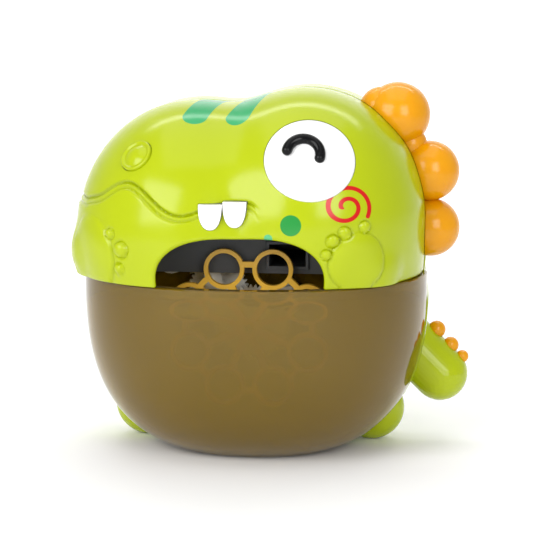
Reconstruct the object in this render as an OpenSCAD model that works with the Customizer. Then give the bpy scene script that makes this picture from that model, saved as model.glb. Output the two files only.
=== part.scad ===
// Bath bubble machine in the shape of a friendly dinosaur.
// Millimetres, +Z up, +X to the right, +Y towards the wall that the suction cups grip.
// The origin is the centre of the flat base of the bubble-liquid tank.

/* [Body] */
// Half-width of the body at the rim between head and tank
body_w = 92; // [92:1:94]
// Depth of the tank in front of the split plane
tank_d = 80; // [80:1:82]
// Height of the rim where the head meets the tank
rim_z = 96; // [96:1:97]
// Depth of the back shell behind the split plane
back_d = 30; // [30:1:31]
// Wall thickness of the mouldings
wall = 2.2; // [2:0.1:2.4]
// Radius of the rounded edge around the back
back_edge_r = 8; // [6:1:9]

/* [Foam outlet] */
// Half-width of the arch that the foam leaves by
outlet_w = 46; // [40:1:46]
// Height of the arch above the rim
outlet_h = 27; // [22:1:27]

/* [Face] */
// Radius of the white eye dome
eye_r = 23; // [21:0.5:23]
// Radius of the nose button
button_r = 8.8; // [8:0.1:8.8]
// Travel of the nose button
button_travel = 1.6; // [1:0.1:1.6]

/* [Bubble wheel] */
// Outer radius of the bubble wheel
wheel_r = 44; // [42:1:44]
// Number of dipping rings round the wheel
wheel_rings = 8; // [6:1:8]
// Inner radius of each dipping ring
ring_r = 8.4; // [7:0.1:8.4]

/* [Gears] */
// Module of the gear teeth
gear_m = 0.8; // [0.8:0.1:0.8]
// Teeth on each pinion
pinion_teeth = 12; // [12:1:12]
// Teeth on the large wheel of each compound gear
gear_teeth = 40; // [38:1:40]
// Teeth on the gear that drives the bubble wheel
wheel_teeth = 48; // [46:1:48]

/* [Suction cups] */
// Radius of each suction cup at its lip
cup_r = 16.5; // [14:0.5:16.5]
// Distance from the split plane to the lips of the cups
cup_reach = 46; // [42:1:46]

/* [Hidden] */
$fn = 48;

split_y = 18;                     // plane where the head and the tank meet the back shell
head_c = [0, split_y, rim_z];     // centre that the head's surface is measured from
gap = 0.3;                        // clearance between neighbouring mouldings

// The head is a blend of ellipsoids: [centre from head_c, half-axes]
snout = [[-31, -13, 24], [62, 65, 67]];
cranium = [[28, -13, 33], [62, 66, 65]];
collar = [[0, 0, 0], [88, 77, 60]];
arm_left = [[-77, -26, 12], [18, 20, 18]];
arm_right = [[54, -46, 8], [24, 20, 19]];
blend = 14;                       // how sharply the three large forms meet
arm_blend = 40;                   // how sharply the arms meet the body

// The tank's side is a superellipse that stops at the flat base
tank_h = 100;                     // half-height of the whole superellipse
side_n = 2.8;                     // its exponent, seen from the front
plan_n = 2.2;                     // the exponent of the tank's outline, seen from above
rim_flange = 7;                   // width of the flange inside the tank's rim
tank_gap = 0.3;                   // gap under the head and behind the tank

// Face features: a point on the surface and the direction that it faces
eye_at = [34.5, -50.9, 163];
eye_dir = [0.111, -0.842, 0.528];
button_at = [-55.6, -39.1, 161.4];
button_dir = [-0.4175, -0.681, 0.6015];
sleeve_len = 14;                  // guide sleeve behind the nose button
eye_dome = 8;                     // rise of the eye's dome over its rim
eye_dome_r = (eye_r * eye_r + eye_dome * eye_dome) / (2 * eye_dome);

// Places in the frame, seen from the front: [x, z]
motor_at = [-26, 126];
wheel_at = [0, 70];
speaker_at = [46, 134];
cup_at = [[-58, 48], [58, 48], [-60, 150], [62, 160]];
shell_screw_at = [[-70, 116], [70, 112], [-36, 166], [34, 178]];
chassis_screw_at = [[-44, 20], [44, 20], [-66, 78], [66, 78]];
duct = [9, 31, 100.6, 115];       // outer sides of the air duct: left, right, bottom, top
duct_wall = 1.4;

// Depths behind (+) or in front of (-) the split plane
plate_y = [0.3, 2.7];             // chassis plate
rear_y = [-8, -5.6];              // rear plate of the gear frame
front_y = [-25.6, -23.4];         // front plate of the gear frame
gear_y = [[-12.3, -9.3], [-17.2, -14.2], [-22.1, -19.1]];   // the three layers of large gears
wheel_y = [-40, -36.5];           // bubble wheel
guard_y = [-33.5, -32];           // splash guard
fan_y = [14, 27.2];               // fan housing
can_y = [-5.5, 9.5];              // motor can

// Gear train: the pitch circles touch, so each centre follows from the last
pin_r = 1.5;
shaft_r = 2;
motor_shaft_r = 1;
running = 0.05;                   // radial clearance of a running fit
mesh_1 = gear_m * (pinion_teeth + gear_teeth) / 2;
mesh_2 = gear_m * (pinion_teeth + wheel_teeth) / 2;
gear_1_at = motor_at + mesh_1 * [cos(-80), sin(-80)];
gear_2_at = meet(gear_1_at, mesh_1, wheel_at, mesh_2);
spacer_at = [[-44, 100], [4, 104], [20, 86]];
hanger_at = [[-44, 100], [4, 104], [-26, 142]];

// Battery compartment
cell_r = 7.1;
cell_len = 50.5;
cell_pitch = 15.6;
cell_y = 14.4;
tray = [-28, 28, 23, 91];         // outer sides: left, right, bottom, top
tray_y = [5, 26.4];
door = [-30, 30, 16, 98];
door_y = [27.7, 30];
door_screw_z = [19.5, 94.5];

// Crest lobes: [x, z, radius]
crest_lobes = [[75.3, 179.1, 17.2], [66.5, 182.3, 11.5], [82, 163.5, 9], [92.3, 149.4, 16], [93.3, 119.2, 15.5]];
tail_balls = [[80, 56, 15], [99, 37, 15]];
spike_balls = [[97, 61, 4.8], [104.6, 52.6, 4.4], [111, 46.4, 3.4]];
foot = [62, 17.6, 17.8];          // x, z and radius of a foot

// Leads: hand-set routes through the body, each a two-core cable
lead_r = 1;
motor_route = [[-20, 28.5, 138], [-20, 28.5, 145], [-10, 29.5, 154], [4, 30, 159], [7.5, 29.5, 160],
    [7.5, 25.6, 160]];
speaker_route = [[44, 36, 146.9], [44, 36, 149], [41, 34, 153], [40, 30, 158], [40, 25.6, 158]];
battery_route = [[28, 27, 80], [33, 27, 80], [48, 26, 90], [65, 26, 118], [66, 26, 140], [58, 28, 156],
    [52, 29.5, 162], [50.5, 29, 163], [50.5, 25.6, 163]];
button_route = [[-49, -28.4, 152], [-47.2, -25.5, 149.4], [-48, 10, 149], [-48, 24, 150], [-30, 27, 156],
    [-10, 28, 164], [2, 29.5, 168], [7.5, 29.5, 168], [7.5, 25.6, 168]];

// ---- shapes of the body ---------------------------------------------------------------------

function dot(a, b) = a * b;
function over(a, b) = [for (i = [0:2]) a[i] / b[i]];

// Distance from the head's centre, along d, to the far side of an ellipsoid e
function reach(d, e) =
    let (u = over(d, e[1]), c = over(e[0], e[1]))
    let (disc = pow(dot(u, c), 2) - dot(u, u) * (dot(c, c) - 1))
    disc > 0 ? max(0, (dot(u, c) + sqrt(disc)) / dot(u, u)) : 0;

function head_radius(d) =
    let (body = pow(reach(d, snout), blend) + pow(reach(d, cranium), blend) + pow(reach(d, collar), blend))
    let (arms = pow(reach(d, arm_left), arm_blend) + pow(reach(d, arm_right), arm_blend))
    pow(pow(body, arm_blend / blend) + arms, 1 / arm_blend);

// theta opens from the front (0) to the split plane (90); beta goes round from +X over the top
function head_dir(theta, beta) = [sin(theta) * cos(beta), -cos(theta), sin(theta) * sin(beta)];
function head_point(theta, beta, grow) =
    let (d = head_dir(theta, beta)) head_c + d * (head_radius(d) + grow);

function outlet_angle(beta) =
    let (r = pow(pow(abs(cos(beta)) / outlet_w, 2.4) + pow(sin(beta) / outlet_h, 2.4), -1 / 2.4))
    atan2(r, tank_d - 4);

// A power that keeps the sign, for superellipses
function spow(v, p) = sign(v) * pow(abs(v), p);

// Outline of the whole body in the split plane, [x, z], counter-clockwise from the right rim
rim_turn = asin(pow(rim_z / tank_h, side_n / 2));
upper_steps = 60;
side_steps = 14;
function side_point(turn, side, grow) = [
    side * (body_w + grow) * pow(cos(turn), 2 / side_n),
    rim_z - (tank_h + min(grow, 0) * tank_h / rim_z) * pow(sin(turn), 2 / side_n)];
function outline(grow) = concat(
    [for (i = [0:upper_steps]) let (p = head_point(90, 180 * i / upper_steps, grow)) [p[0], p[2]]],
    [for (i = [1:side_steps]) side_point(rim_turn * i / side_steps, -1, grow)],
    [for (i = [side_steps:-1:1]) side_point(rim_turn * i / side_steps, 1, grow)]);

// Intersection of two circles, on the left of the line from a to b
function meet(a, ra, b, rb) =
    let (d = norm(b - a), u = (b - a) / d, along = (d * d + ra * ra - rb * rb) / (2 * d))
    let (side = sqrt(ra * ra - along * along))
    a + along * u + side * [u[1], -u[0]];

function sum(ring, k, i = 0) = i == len(ring) ? 0 : ring[i][k] + sum(ring, k, i + 1);

// A closed skin over a stack of rings with the same number of points
module skin(rings) {
    n = len(rings[0]);
    m = len(rings);
    points = concat([for (ring = rings) each ring], [centre(rings[0]), centre(rings[m - 1])]);
    sides = [for (j = [0:m - 2], i = [0:n - 1]) let (k = (i + 1) % n) each [
        [j * n + i, j * n + k, (j + 1) * n + k], [j * n + i, (j + 1) * n + k, (j + 1) * n + i]]];
    ends = [for (i = [0:n - 1]) let (k = (i + 1) % n) each [
        [m * n, k, i], [m * n + 1, (m - 1) * n + i, (m - 1) * n + k]]];
    polyhedron(points, concat(sides, ends));
}
function centre(ring) = [for (k = [0:2]) sum(ring, k) / len(ring)];

// A slab between two depths from the split plane; its outline is drawn as [x, z]
module slab(span) {
    translate([0, split_y + span[1], 0]) rotate([90, 0, 0]) linear_extrude(span[1] - span[0]) children();
}
module disc(at, r, span) { slab(span) translate(at) circle(r); }
module block(box, span) { slab(span) translate([box[0], box[2]]) square([box[1] - box[0], box[3] - box[2]]); }

// Puts its children at a point, with their +Z along dir
module facing(at, dir) {
    translate(at) rotate([0, acos(dir[2] / norm(dir)), atan2(dir[1], dir[0])]) children();
}

// Bars of width w that join a chain of points
module bars(points, w, span) {
    for (i = [0:len(points) - 2])
        let (run = points[i + 1] - points[i])
        slab(span) translate(points[i]) rotate(atan2(run[1], run[0])) translate([0, -w / 2]) square([norm(run), w]);
}

// ---- tank and mouldings ---------------------------------------------------------------------

// A level ring of the tank: the turn down the side, then its half-width, depth and height
function tank_ring(turn, w, d, h, back) =
    let (k = pow(cos(turn), 2 / side_n), z = rim_z - tank_gap - h * pow(sin(turn), 2 / side_n))
    flat_ring(w * k, d * k, z, back);
function flat_ring(w, d, z, back) = [for (a = [0:3.75:180])
    [w * spow(cos(a), 2 / plan_n), split_y - max(d * pow(sin(a), 2 / plan_n), tank_gap + back), max(z, 0)]];

module tank() {
    outer = [for (i = [16:-1:0]) tank_ring(rim_turn * i / 16, body_w, tank_d, tank_h, 0)];
    inner_turn = asin(pow((rim_z - wall) / (tank_h - wall), side_n / 2));
    inner = [for (i = [1:16]) tank_ring(inner_turn * i / 16, body_w - wall, tank_d - wall, tank_h - wall, wall)];
    flange = [for (z = [rim_z - tank_gap, rim_z - 2.6]) flat_ring(body_w - rim_flange, tank_d - rim_flange, z, wall)];
    color([0.42, 0.33, 0.08, 0.8]) {
        skin(concat(outer, flange, inner));
        // tongues that snap into the machine behind the rim
        for (x = [-62, 62])
            block([x - 7, x + 7, rim_z - 4, rim_z + 9], [-4.6, -2.2]);
    }
}

module head_shell() {
    steps_b = 60;
    steps_t = 22;
    rings = [for (j = [0:steps_t]) concat(
        [for (i = [0:steps_b]) head_at(i / steps_b, j / steps_t, 0)],
        [for (i = [steps_b:-1:0]) head_at(i / steps_b, j / steps_t, -wall)])];
    color([0.76, 0.83, 0.09]) difference() {
        union() {
            arch_skin(rings);
            facing(button_at, button_dir) translate([0, 0, -sleeve_len]) cylinder(r = button_r + 2.4, h = sleeve_len - 1);
            for (at = shell_screw_at)
                disc(at, 4, [-post_depth(at), -gap]);
        }
        facing(eye_at, eye_dir) cylinder(r = eye_r + 0.2, h = 30, center = true);
        facing(button_at, button_dir) cylinder(r = button_r + 0.2, h = 50, center = true);
        slab([-90, -60]) tooth_outlines(0.2);
        for (at = shell_screw_at)
            disc(at, 1.55, [-18, 1]);
    }
}
function head_at(u, v, grow) =
    let (beta = 180 * u, start = outlet_angle(beta))
    head_point(start + (90 - start) * v, beta, grow);

// A screw post runs forward until its outer edge is half-way through the wall
function post_depth(at, low = 20, high = 90, i = 0) =
    let (beta = atan2(at[1] - rim_z, at[0]), r = norm(at - [0, rim_z]) + 4, mid = (low + high) / 2)
    let (d = head_dir(mid, beta), radius = head_radius(d) - wall / 2)
    i == 12 ? radius * cos(mid) : radius * sin(mid) > r ? post_depth(at, low, mid, i + 1)
        : post_depth(at, mid, high, i + 1);

// Like skin, for rings that are open arches: each end is closed by a strip between its two sides
module arch_skin(rings) {
    n = len(rings[0]);
    m = len(rings);
    sides = [for (j = [0:m - 2], i = [0:n - 1]) let (k = (i + 1) % n) each [
        [j * n + i, j * n + k, (j + 1) * n + k], [j * n + i, (j + 1) * n + k, (j + 1) * n + i]]];
    ends = [for (i = [0:n / 2 - 2]) each [
        [i, n - 1 - i, n - 2 - i, i + 1],
        [(m - 1) * n + i, (m - 1) * n + i + 1, m * n - 2 - i, m * n - 1 - i]]];
    polyhedron([for (ring = rings) each ring], concat(sides, ends));
}

module back_shell() {
    color([0.76, 0.83, 0.09]) difference() {
        union() {
            back_skin();
            for (at = shell_screw_at)
                disc(at, 4.4, [plate_y[1] + 0.2, back_d - 1]);
            for (at = chassis_screw_at)
                disc(at, 4, [plate_y[1], back_d - 1]);
            for (at = cup_at)
                disc(at, 7, [22, back_d - 1]);
        }
        for (at = shell_screw_at) {
            disc(at, 3.2, [6, back_d + 1]);
            disc(at, 1.65, [0, 8]);
        }
        for (at = chassis_screw_at)
            disc(at, 1.25, [0, 14]);
        for (at = cup_at) {
            disc(at, 4, [24, back_d + 1]);
            disc(at, 5.2, [24, 27]);
        }
        block([door[0] - gap, door[1] + gap, door[2] - gap, door[3] + gap], [26, back_d + 1]);
        // air intake behind the fan
        for (i = [-2:2])
            block([motor_at[0] - sqrt(220 - 36 * i * i), motor_at[0] + sqrt(220 - 36 * i * i),
                motor_at[1] + 6 * i - 1.5, motor_at[1] + 6 * i + 1.5], [20, back_d + 1]);
        // sound holes
        for (ring = [0:2], i = [0:max(0, 6 * ring - 1)])
            disc(speaker_at + 5.5 * ring * [cos(60 * i / max(1, ring)), sin(60 * i / max(1, ring))], 1.3,
                [20, back_d + 1]);
    }
}
// The tub of the back shell: inner wall from back to front, then outer wall from front to back
function back_ring(grow, inset, y) = [for (p = outline(grow))
    [p[0] * (1 - inset / body_w), split_y + y, rim_z + (p[1] - rim_z) * (1 - inset / body_w)]];
module back_skin() {
    turns = [0:22.5:90];
    inner_r = back_edge_r - wall;
    skin(concat(
        [for (a = turns) back_ring(0.8 - wall, inner_r * (1 - sin(a)), back_d - wall - inner_r * (1 - cos(a)))],
        [back_ring(0.8 - wall, 0, 0), back_ring(0.8, 0, 0)],
        [for (a = turns) back_ring(0.8, back_edge_r * (1 - cos(a)), back_d - back_edge_r * (1 - sin(a)))]));
}

module chassis_plate() {
    color([0.30, 0.32, 0.34]) difference() {
        slab(plate_y) polygon(outline(0.4 - wall - gap));
        disc(motor_at, 11.5, [0, 3]);
        block([duct[0] - gap, duct[1] + gap, duct[2] - gap, duct[3] + gap], [0, 3]);
        block([-60, -38, 146, 154], [0, 3]);
        for (at = shell_screw_at)
            disc(at, 1.7, [0, 3]);
        for (at = chassis_screw_at) {
            disc(at, 1.4, [0, 3]);
            disc(at, 2.8, [0, plate_y[0] + 1.4]);
        }
        for (at = hanger_at)
            disc(at, 1.25, [0, 3]);
    }
}

// ---- crest, tail and feet -------------------------------------------------------------------

// The part of the head's surface that the crest sits on, as a closed cutter grown by the gap
module crest_seat() {
    span = [-20:2.5:0];
    function ring(y) = concat(
        [for (b = [-6:3:78]) head_point(90 + y * 0.75, b, 0.25)],
        [head_c + [0, y, 20], head_c + [0, y, -12]]);
    skin([for (y = span) ring(y)]);
    slab([-1, back_d + 8]) polygon(outline(0.95));
}
module crest() {
    color([0.98, 0.64, 0.01]) difference() {
        for (lobe = crest_lobes)
            translate([lobe[0], split_y, lobe[1]]) sphere(r = lobe[2]);
        crest_seat();
    }
}
module tail() {
    color([0.76, 0.83, 0.09]) difference() {
        hull() for (ball = tail_balls)
            translate([ball[0], split_y + 15, ball[1]]) sphere(r = ball[2], $fn = 36);
        slab([-5, back_d + 8]) polygon(outline(0.95));
        for (ball = spike_balls)
            translate([ball[0], split_y + 15, ball[1]]) sphere(r = ball[2] + 0.1, $fn = 24);
    }
}
module tail_spikes() {
    color([0.98, 0.64, 0.01]) for (ball = spike_balls)
        translate([ball[0], split_y + 15, ball[1]]) sphere(r = ball[2]);
}
module foot_shape(side) {
    color([0.76, 0.83, 0.09]) intersection() {
        difference() {
            translate([side * foot[0], split_y + 14, foot[1]]) scale([1, 0.77, 1]) sphere(r = foot[2]);
            slab([-5, back_d + 8]) polygon(outline(0.95));
        }
        translate([side * foot[0], split_y + 15, 20]) cube([60, 60, 40], center = true);
    }
}
module foot_left() foot_shape(-1);
module foot_right() foot_shape(1);

// ---- face -----------------------------------------------------------------------------------

module eye_white() {
    color("white") facing(eye_at, eye_dir) {
        intersection() {
            translate([0, 0, eye_dome - eye_dome_r - 4.5]) sphere(r = eye_dome_r, $fn = 96);
            translate([0, 0, -4.6]) cylinder(r = eye_r, h = 12.6);
        }
        translate([0, 0, -9]) cylinder(r = eye_r, h = 4.4);
    }
}
// A raised half-round arch that lies on the dome of the eye
arch_r = 8.4;
arch_tube = 2.4;
arch_centre = [0, -3.4];
function dome_height(p) = sqrt(eye_dome_r * eye_dome_r - p[0] * p[0] - p[1] * p[1]) + eye_dome - eye_dome_r - 4.5;
function arch_ring(turn, along, r) = [for (k = [0:22.5:337.5])
    let (out = arch_r + r * cos(k), p = arch_centre + polar(out, turn) + along * polar(1, turn + 90))
    [p[0], p[1], max(3.4 + r * sin(k), dome_height(p) + 0.02)]];
module eye_arch() {
    ends = [for (a = [75:-25:0]) a];
    color([0.03, 0.03, 0.04]) facing(eye_at, eye_dir) skin(concat(
        [for (a = ends) arch_ring(74, -arch_tube * sin(a), arch_tube * cos(a))],
        [for (turn = [83:9:245]) arch_ring(turn, 0, arch_tube)],
        [for (i = [3:-1:0]) arch_ring(254, arch_tube * sin(ends[i]), arch_tube * cos(ends[i]))]));
}
tooth_at = [[-15.1, 133.2], [-2.7, 134.6]];
tooth_w = 12;
module tooth_outlines(grow) {
    for (at = tooth_at) {
        translate(at) translate([0, -1]) circle(tooth_w / 2 + grow);
        translate(at) translate([-tooth_w / 2 - grow, -1]) square([tooth_w + 2 * grow, 7 + grow]);
    }
}
module teeth() {
    color("white") {
        for (at = tooth_at)
            intersection() {
                slab([-86, -70]) tooth_outlines(0);
                translate([at[0], split_y - 60, at[1]]) sphere(r = 18.6);
                slab([-90, -60]) translate([at[0] - tooth_w / 2, at[1] - 10]) square([tooth_w, 20]);
            }
        block([tooth_at[0][0] - 7, tooth_at[1][0] + 7, 128, 138], [-71, -69]);
    }
}
module nose_button() {
    color([0.76, 0.83, 0.09]) facing(button_at, button_dir) difference() {
        union() {
            rotate_extrude() polygon([
                [0, -7], [button_r, -7], [button_r, -5.6], [button_r - 0.8, -5.6], [button_r - 0.8, -4.2],
                [button_r, -4.2], [button_r, 0.4], [button_r - 0.6, 1], [button_r - 1.4, 1],
                [button_r - 2.2, 0.4], [0, 0.4]]);
            intersection() {
                translate([0, 0, -9.38]) sphere(r = 11.58);
                cylinder(r = 6.2, h = 4);
            }
            translate([0, 0, -8.4]) cylinder(r = 2, h = 8);
        }
    }
}
module button_seal() {
    color([0.15, 0.15, 0.15]) facing(button_at, button_dir)
        translate([0, 0, -4.9]) rotate_extrude() translate([button_r - 0.3, 0]) circle(0.45, $fn = 24);
}
module button_board() {
    color([0.10, 0.35, 0.18]) facing(button_at, button_dir)
        translate([0, 0, -sleeve_len - 1.7]) cylinder(r = button_r + 2.4, h = 1.6);
}
module tact_switch() {
    color([0.20, 0.20, 0.22]) facing(button_at, button_dir) translate([0, 0, -sleeve_len - 0.1]) {
        translate([-3, -3, 0]) cube([6, 6, 2.6]);
        cylinder(r = 1.75, h = 3.6);
    }
}

// ---- gear frame and drive -------------------------------------------------------------------

module gear_frame_rear() {
    chain = [hanger_at[2], motor_at, gear_1_at, gear_2_at, wheel_at, spacer_at[2]];
    color([0.85, 0.86, 0.84]) difference() {
        union() {
            bars(chain, 9.4, rear_y);
            bars([spacer_at[0], gear_1_at, spacer_at[1]], 7, rear_y);
            disc(motor_at, 11.5, rear_y);
            for (at = [gear_1_at, gear_2_at, wheel_at])
                disc(at, 7, rear_y);
            for (at = concat(spacer_at, hanger_at))
                disc(at, 4, rear_y);
            for (at = spacer_at)
                disc(at, 2.6, [front_y[1], rear_y[1] - 1]);
            for (at = hanger_at)
                disc(at, 3, [rear_y[0] + 1, plate_y[0]]);
        }
        disc(motor_at, 3.2, [-10, 0]);
        for (at = [gear_1_at, gear_2_at])
            disc(at, pin_r, [-10, 0]);
        disc(wheel_at, shaft_r + 2, [-10, 0]);
        for (at = spacer_at)
            disc(at, 0.95, [-30, -8.6]);
        for (at = hanger_at)
            disc(at, 1.15, [-4.6, 1]);
    }
}
module gear_frame_front() {
    color([0.85, 0.86, 0.84]) difference() {
        union() {
            bars([spacer_at[0], gear_1_at, gear_2_at, wheel_at, spacer_at[2]], 9, front_y);
            bars([gear_1_at, spacer_at[1]], 7, front_y);
            for (at = [gear_1_at, gear_2_at, wheel_at])
                disc(at, 7, front_y);
            for (at = spacer_at)
                disc(at, 4, front_y);
        }
        for (at = [gear_1_at, gear_2_at])
            disc(at, pin_r, [-30, -20]);
        disc(wheel_at, shaft_r + 2, [-30, -20]);
        for (at = spacer_at)
            disc(at, 1.15, [-30, -20]);
    }
}
module screw(at, span, head_r, shank_r) {
    disc(at, head_r, [span[0], span[0] + 1.2]);
    disc(at, shank_r, [span[0] + 1, span[1]]);
}
module frame_screws() {
    color([0.72, 0.73, 0.75]) {
        for (at = spacer_at)
            screw(at, [front_y[0] - 1.2, -15], 2.2, 0.9);
        for (at = hanger_at)
            mirror_y(plate_y[1]) screw(at, [plate_y[1] - 1.2, plate_y[1] + 6], 2.2, 1.1);
    }
}
// Turns screws round so that their heads face the wall
module mirror_y(y) {
    translate([0, 2 * (split_y + y), 0]) mirror([0, 1, 0]) children();
}

// Involute gear outline; phase turns a tooth away from +X
function involute(base, r) = let (p = acos(min(1, base / r))) tan(p) * 180 / PI - p;
function gear_outline(teeth, phase) =
    let (pitch = gear_m * teeth / 2, base = pitch * cos(25), tip = pitch + 0.8 * gear_m)
    let (root = pitch - 1.2 * gear_m, half = 90 / teeth - 0.07 / pitch * 180 / PI)
    let (start = max(root + 0.05, base), radii = [start, (start + pitch) / 2, (pitch + tip) / 2, tip])
    let (flank = [for (r = radii) [r, half + involute(base, pitch) - involute(base, r)]])
    let (floor_turn = 0.7 * flank[0][1] + 0.3 * 180 / teeth)
    [for (t = [0:teeth - 1]) each concat(
        [polar(root, phase + 360 / teeth * t - floor_turn)],
        [for (p = flank) polar(p[0], phase + 360 / teeth * t - p[1])],
        [for (i = [3:-1:0]) polar(flank[i][0], phase + 360 / teeth * t + flank[i][1])],
        [polar(root, phase + 360 / teeth * t + floor_turn)])];
function polar(r, a) = r * [cos(a), sin(a)];
// Phase of gear b that meshes with gear a, whose phase is known
function mesh_phase(a_at, a_teeth, a_phase, b_at, b_teeth) =
    let (dir = atan2(b_at[1] - a_at[1], b_at[0] - a_at[0]))
    dir + 180 - (180 - a_teeth * (dir - a_phase)) / b_teeth;

gear_1_phase = mesh_phase(motor_at, pinion_teeth, 0, gear_1_at, gear_teeth);
gear_2_phase = mesh_phase(gear_1_at, pinion_teeth, gear_1_phase, gear_2_at, gear_teeth);
wheel_phase = mesh_phase(gear_2_at, pinion_teeth, gear_2_phase, wheel_at, wheel_teeth);

module gear(at, teeth, phase, span) { slab(span) translate(at) polygon(gear_outline(teeth, phase)); }

module motor_pinion() {
    color("white") difference() {
        gear(motor_at, pinion_teeth, 0, [-13, -8.8]);
        disc(motor_at, motor_shaft_r, [-15, -5]);
    }
}
module compound_gear(at, phase, layer, next) {
    difference() {
        union() {
            gear(at, gear_teeth, phase, layer);
            gear(at, pinion_teeth, phase, [next[0] - 0.3, layer[0]]);
            disc(at, 3, [layer[1], layer[1] + 0.9]);
        }
        disc(at, pin_r + running, [-30, 0]);
    }
}
module first_gear() { color([0.93, 0.93, 0.90]) compound_gear(gear_1_at, gear_1_phase, gear_y[0], gear_y[1]); }
module second_gear() { color([0.93, 0.93, 0.90]) compound_gear(gear_2_at, gear_2_phase, gear_y[1], gear_y[2]); }
module gear_pins() {
    color([0.72, 0.73, 0.75]) for (at = [gear_1_at, gear_2_at])
        disc(at, pin_r, [front_y[0], rear_y[1]]);
}
module wheel_gear() {
    color([0.93, 0.93, 0.90]) difference() {
        union() {
            gear(wheel_at, wheel_teeth, wheel_phase, gear_y[2]);
            disc(wheel_at, 4, [gear_y[2][1], rear_y[0] - 0.6]);
        }
        disc(wheel_at, shaft_r, [-30, 0]);
    }
}
module wheel_shaft() {
    color([0.72, 0.73, 0.75]) difference() {
        disc(wheel_at, shaft_r, [wheel_y[0] - 1.5, -4]);
        // groove for the clip, in front of the front plate
        difference() {
            disc(wheel_at, shaft_r + 1, [-27.2, -26.6]);
            disc(wheel_at, shaft_r - 0.5, [-28, -26]);
        }
    }
}
module shaft_bushes() {
    color([0.80, 0.66, 0.35]) for (span = [rear_y, front_y])
        difference() {
            disc(wheel_at, shaft_r + 2, span);
            disc(wheel_at, shaft_r + running, [-30, 0]);
        }
}
module shaft_clip() {
    color([0.45, 0.46, 0.48]) difference() {
        disc(wheel_at, shaft_r + 1.8, [-27.15, -26.65]);
        disc(wheel_at, shaft_r - 0.5, [-28, -26]);
        block([wheel_at[0] - 1.1, wheel_at[0] + 1.1, wheel_at[1] - 5, wheel_at[1]], [-28, -26]);
    }
}
module bubble_wheel() {
    ring_at = wheel_r - ring_r - 2.2;
    color([0.95, 0.75, 0.20]) difference() {
        union() {
            disc(wheel_at, 7, [wheel_y[0] - 0.5, wheel_y[1] + 4]);
            difference() {
                disc(wheel_at, ring_at + 1.5, wheel_y);
                disc(wheel_at, ring_at - 1.5, [-50, -30]);
            }
            for (i = [0:wheel_rings - 1]) {
                turn = 360 / wheel_rings * (i + 0.5);
                disc(wheel_at + polar(ring_at, turn), ring_r + 2.2, wheel_y);
                bars([wheel_at, wheel_at + polar(ring_at - ring_r, turn)], 4, wheel_y);
            }
        }
        for (i = [0:wheel_rings - 1])
            disc(wheel_at + polar(ring_at, 360 / wheel_rings * (i + 0.5)), ring_r, [-50, -30]);
        disc(wheel_at, shaft_r, [-50, -30]);
    }
}

// ---- motor, fan and duct --------------------------------------------------------------------

module flatted(r, flat, span) {
    intersection() {
        disc(motor_at, r, span);
        block([motor_at[0] - r, motor_at[0] + r, motor_at[1] - flat, motor_at[1] + flat], span);
    }
}
module motor_can() {
    color([0.72, 0.73, 0.75]) difference() {
        union() {
            flatted(10, 7.6, can_y);
            disc(motor_at, 3.1, [rear_y[0] + 0.6, can_y[0]]);
        }
        disc(motor_at, motor_shaft_r + running, [-10, 12]);
        flatted(9.2, 6.8, [can_y[0] + 0.8, can_y[1] + 1]);
    }
}
module motor_end_cap() {
    color([0.90, 0.90, 0.88]) difference() {
        union() {
            flatted(10, 7.6, [can_y[1], can_y[1] + 2.2]);
            disc(motor_at, 3, [can_y[1] + 2, can_y[1] + 3.2]);
            for (side = [-1, 1])
                block([motor_at[0] + side * 6 - 1, motor_at[0] + side * 6 + 1, motor_at[1] + 7.6, motor_at[1] + 12],
                    [can_y[1] + 0.8, can_y[1] + 1.2]);
        }
        disc(motor_at, motor_shaft_r + running, [0, 20]);
    }
}
module motor_shaft() {
    color([0.72, 0.73, 0.75]) {
        disc(motor_at, motor_shaft_r, [-13.4, 24.4]);
        disc(motor_at, 6, [can_y[0] + 2, can_y[1] - 2]);
    }
}
module impeller() {
    fan_span = [16.6, 24.8];
    color([0.25, 0.45, 0.75]) difference() {
        union() {
            disc(motor_at, 20.5, [fan_span[0], fan_span[0] + 1.2]);
            disc(motor_at, 3.2, fan_span);
            for (i = [0:11])
                slab(fan_span) translate(motor_at) rotate(30 * i) translate([12, 0]) rotate(25)
                    square([8.2, 1]);
        }
        disc(motor_at, motor_shaft_r, [10, 30]);
    }
}
// Snail shape of the fan housing: it opens out as it turns towards the outlet at the bottom
module fan_housing() {
    outlet_bottom = duct[2];
    color([0.30, 0.32, 0.34]) difference() {
        union() {
            slab(fan_y) polygon(snail(0));
            block([motor_at[0], duct[1] + 1.4, outlet_bottom, duct[3] + 1], fan_y);
        }
        slab([fan_y[0] + 1.4, fan_y[1] - 1.4]) polygon(snail(-duct_wall));
        block([motor_at[0], duct[1], outlet_bottom + duct_wall, duct[3] - 0.4], [fan_y[0] + 1.4, fan_y[1] - 1.4]);
        disc(motor_at, 13, [20, 30]);
        disc(motor_at, 3.4, [10, 20]);
        block([duct[0] + duct_wall, duct[1] - duct_wall, duct[2] + duct_wall, duct[3] - duct_wall], [10, 20]);
    }
}
function snail(grow) = [for (a = [0:10:360]) motor_at + polar(25.4 - 2.6 * a / 360 + grow, a - 90)];
module air_duct() {
    color([0.30, 0.32, 0.34]) difference() {
        block(duct, [guard_y[0] - 1.5, fan_y[0] - 0.05]);
        block([duct[0] + duct_wall, duct[1] - duct_wall, duct[2] + duct_wall, duct[3] - duct_wall], [-50, 20]);
    }
}
module splash_guard() {
    color([0.30, 0.32, 0.34]) difference() {
        union() {
            block([-56, 56, rim_z + 2, 116], guard_y);
            slab(guard_y) translate([0, 116]) intersection() {
                scale([1, 0.5]) circle(56);
                translate([-60, 0]) square([120, 40]);
            }
        }
        block([duct[0] - gap, duct[1] + gap, duct[2] - gap, duct[3] + gap], [-40, -30]);
    }
}

// ---- electronics and battery compartment ----------------------------------------------------

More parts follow.
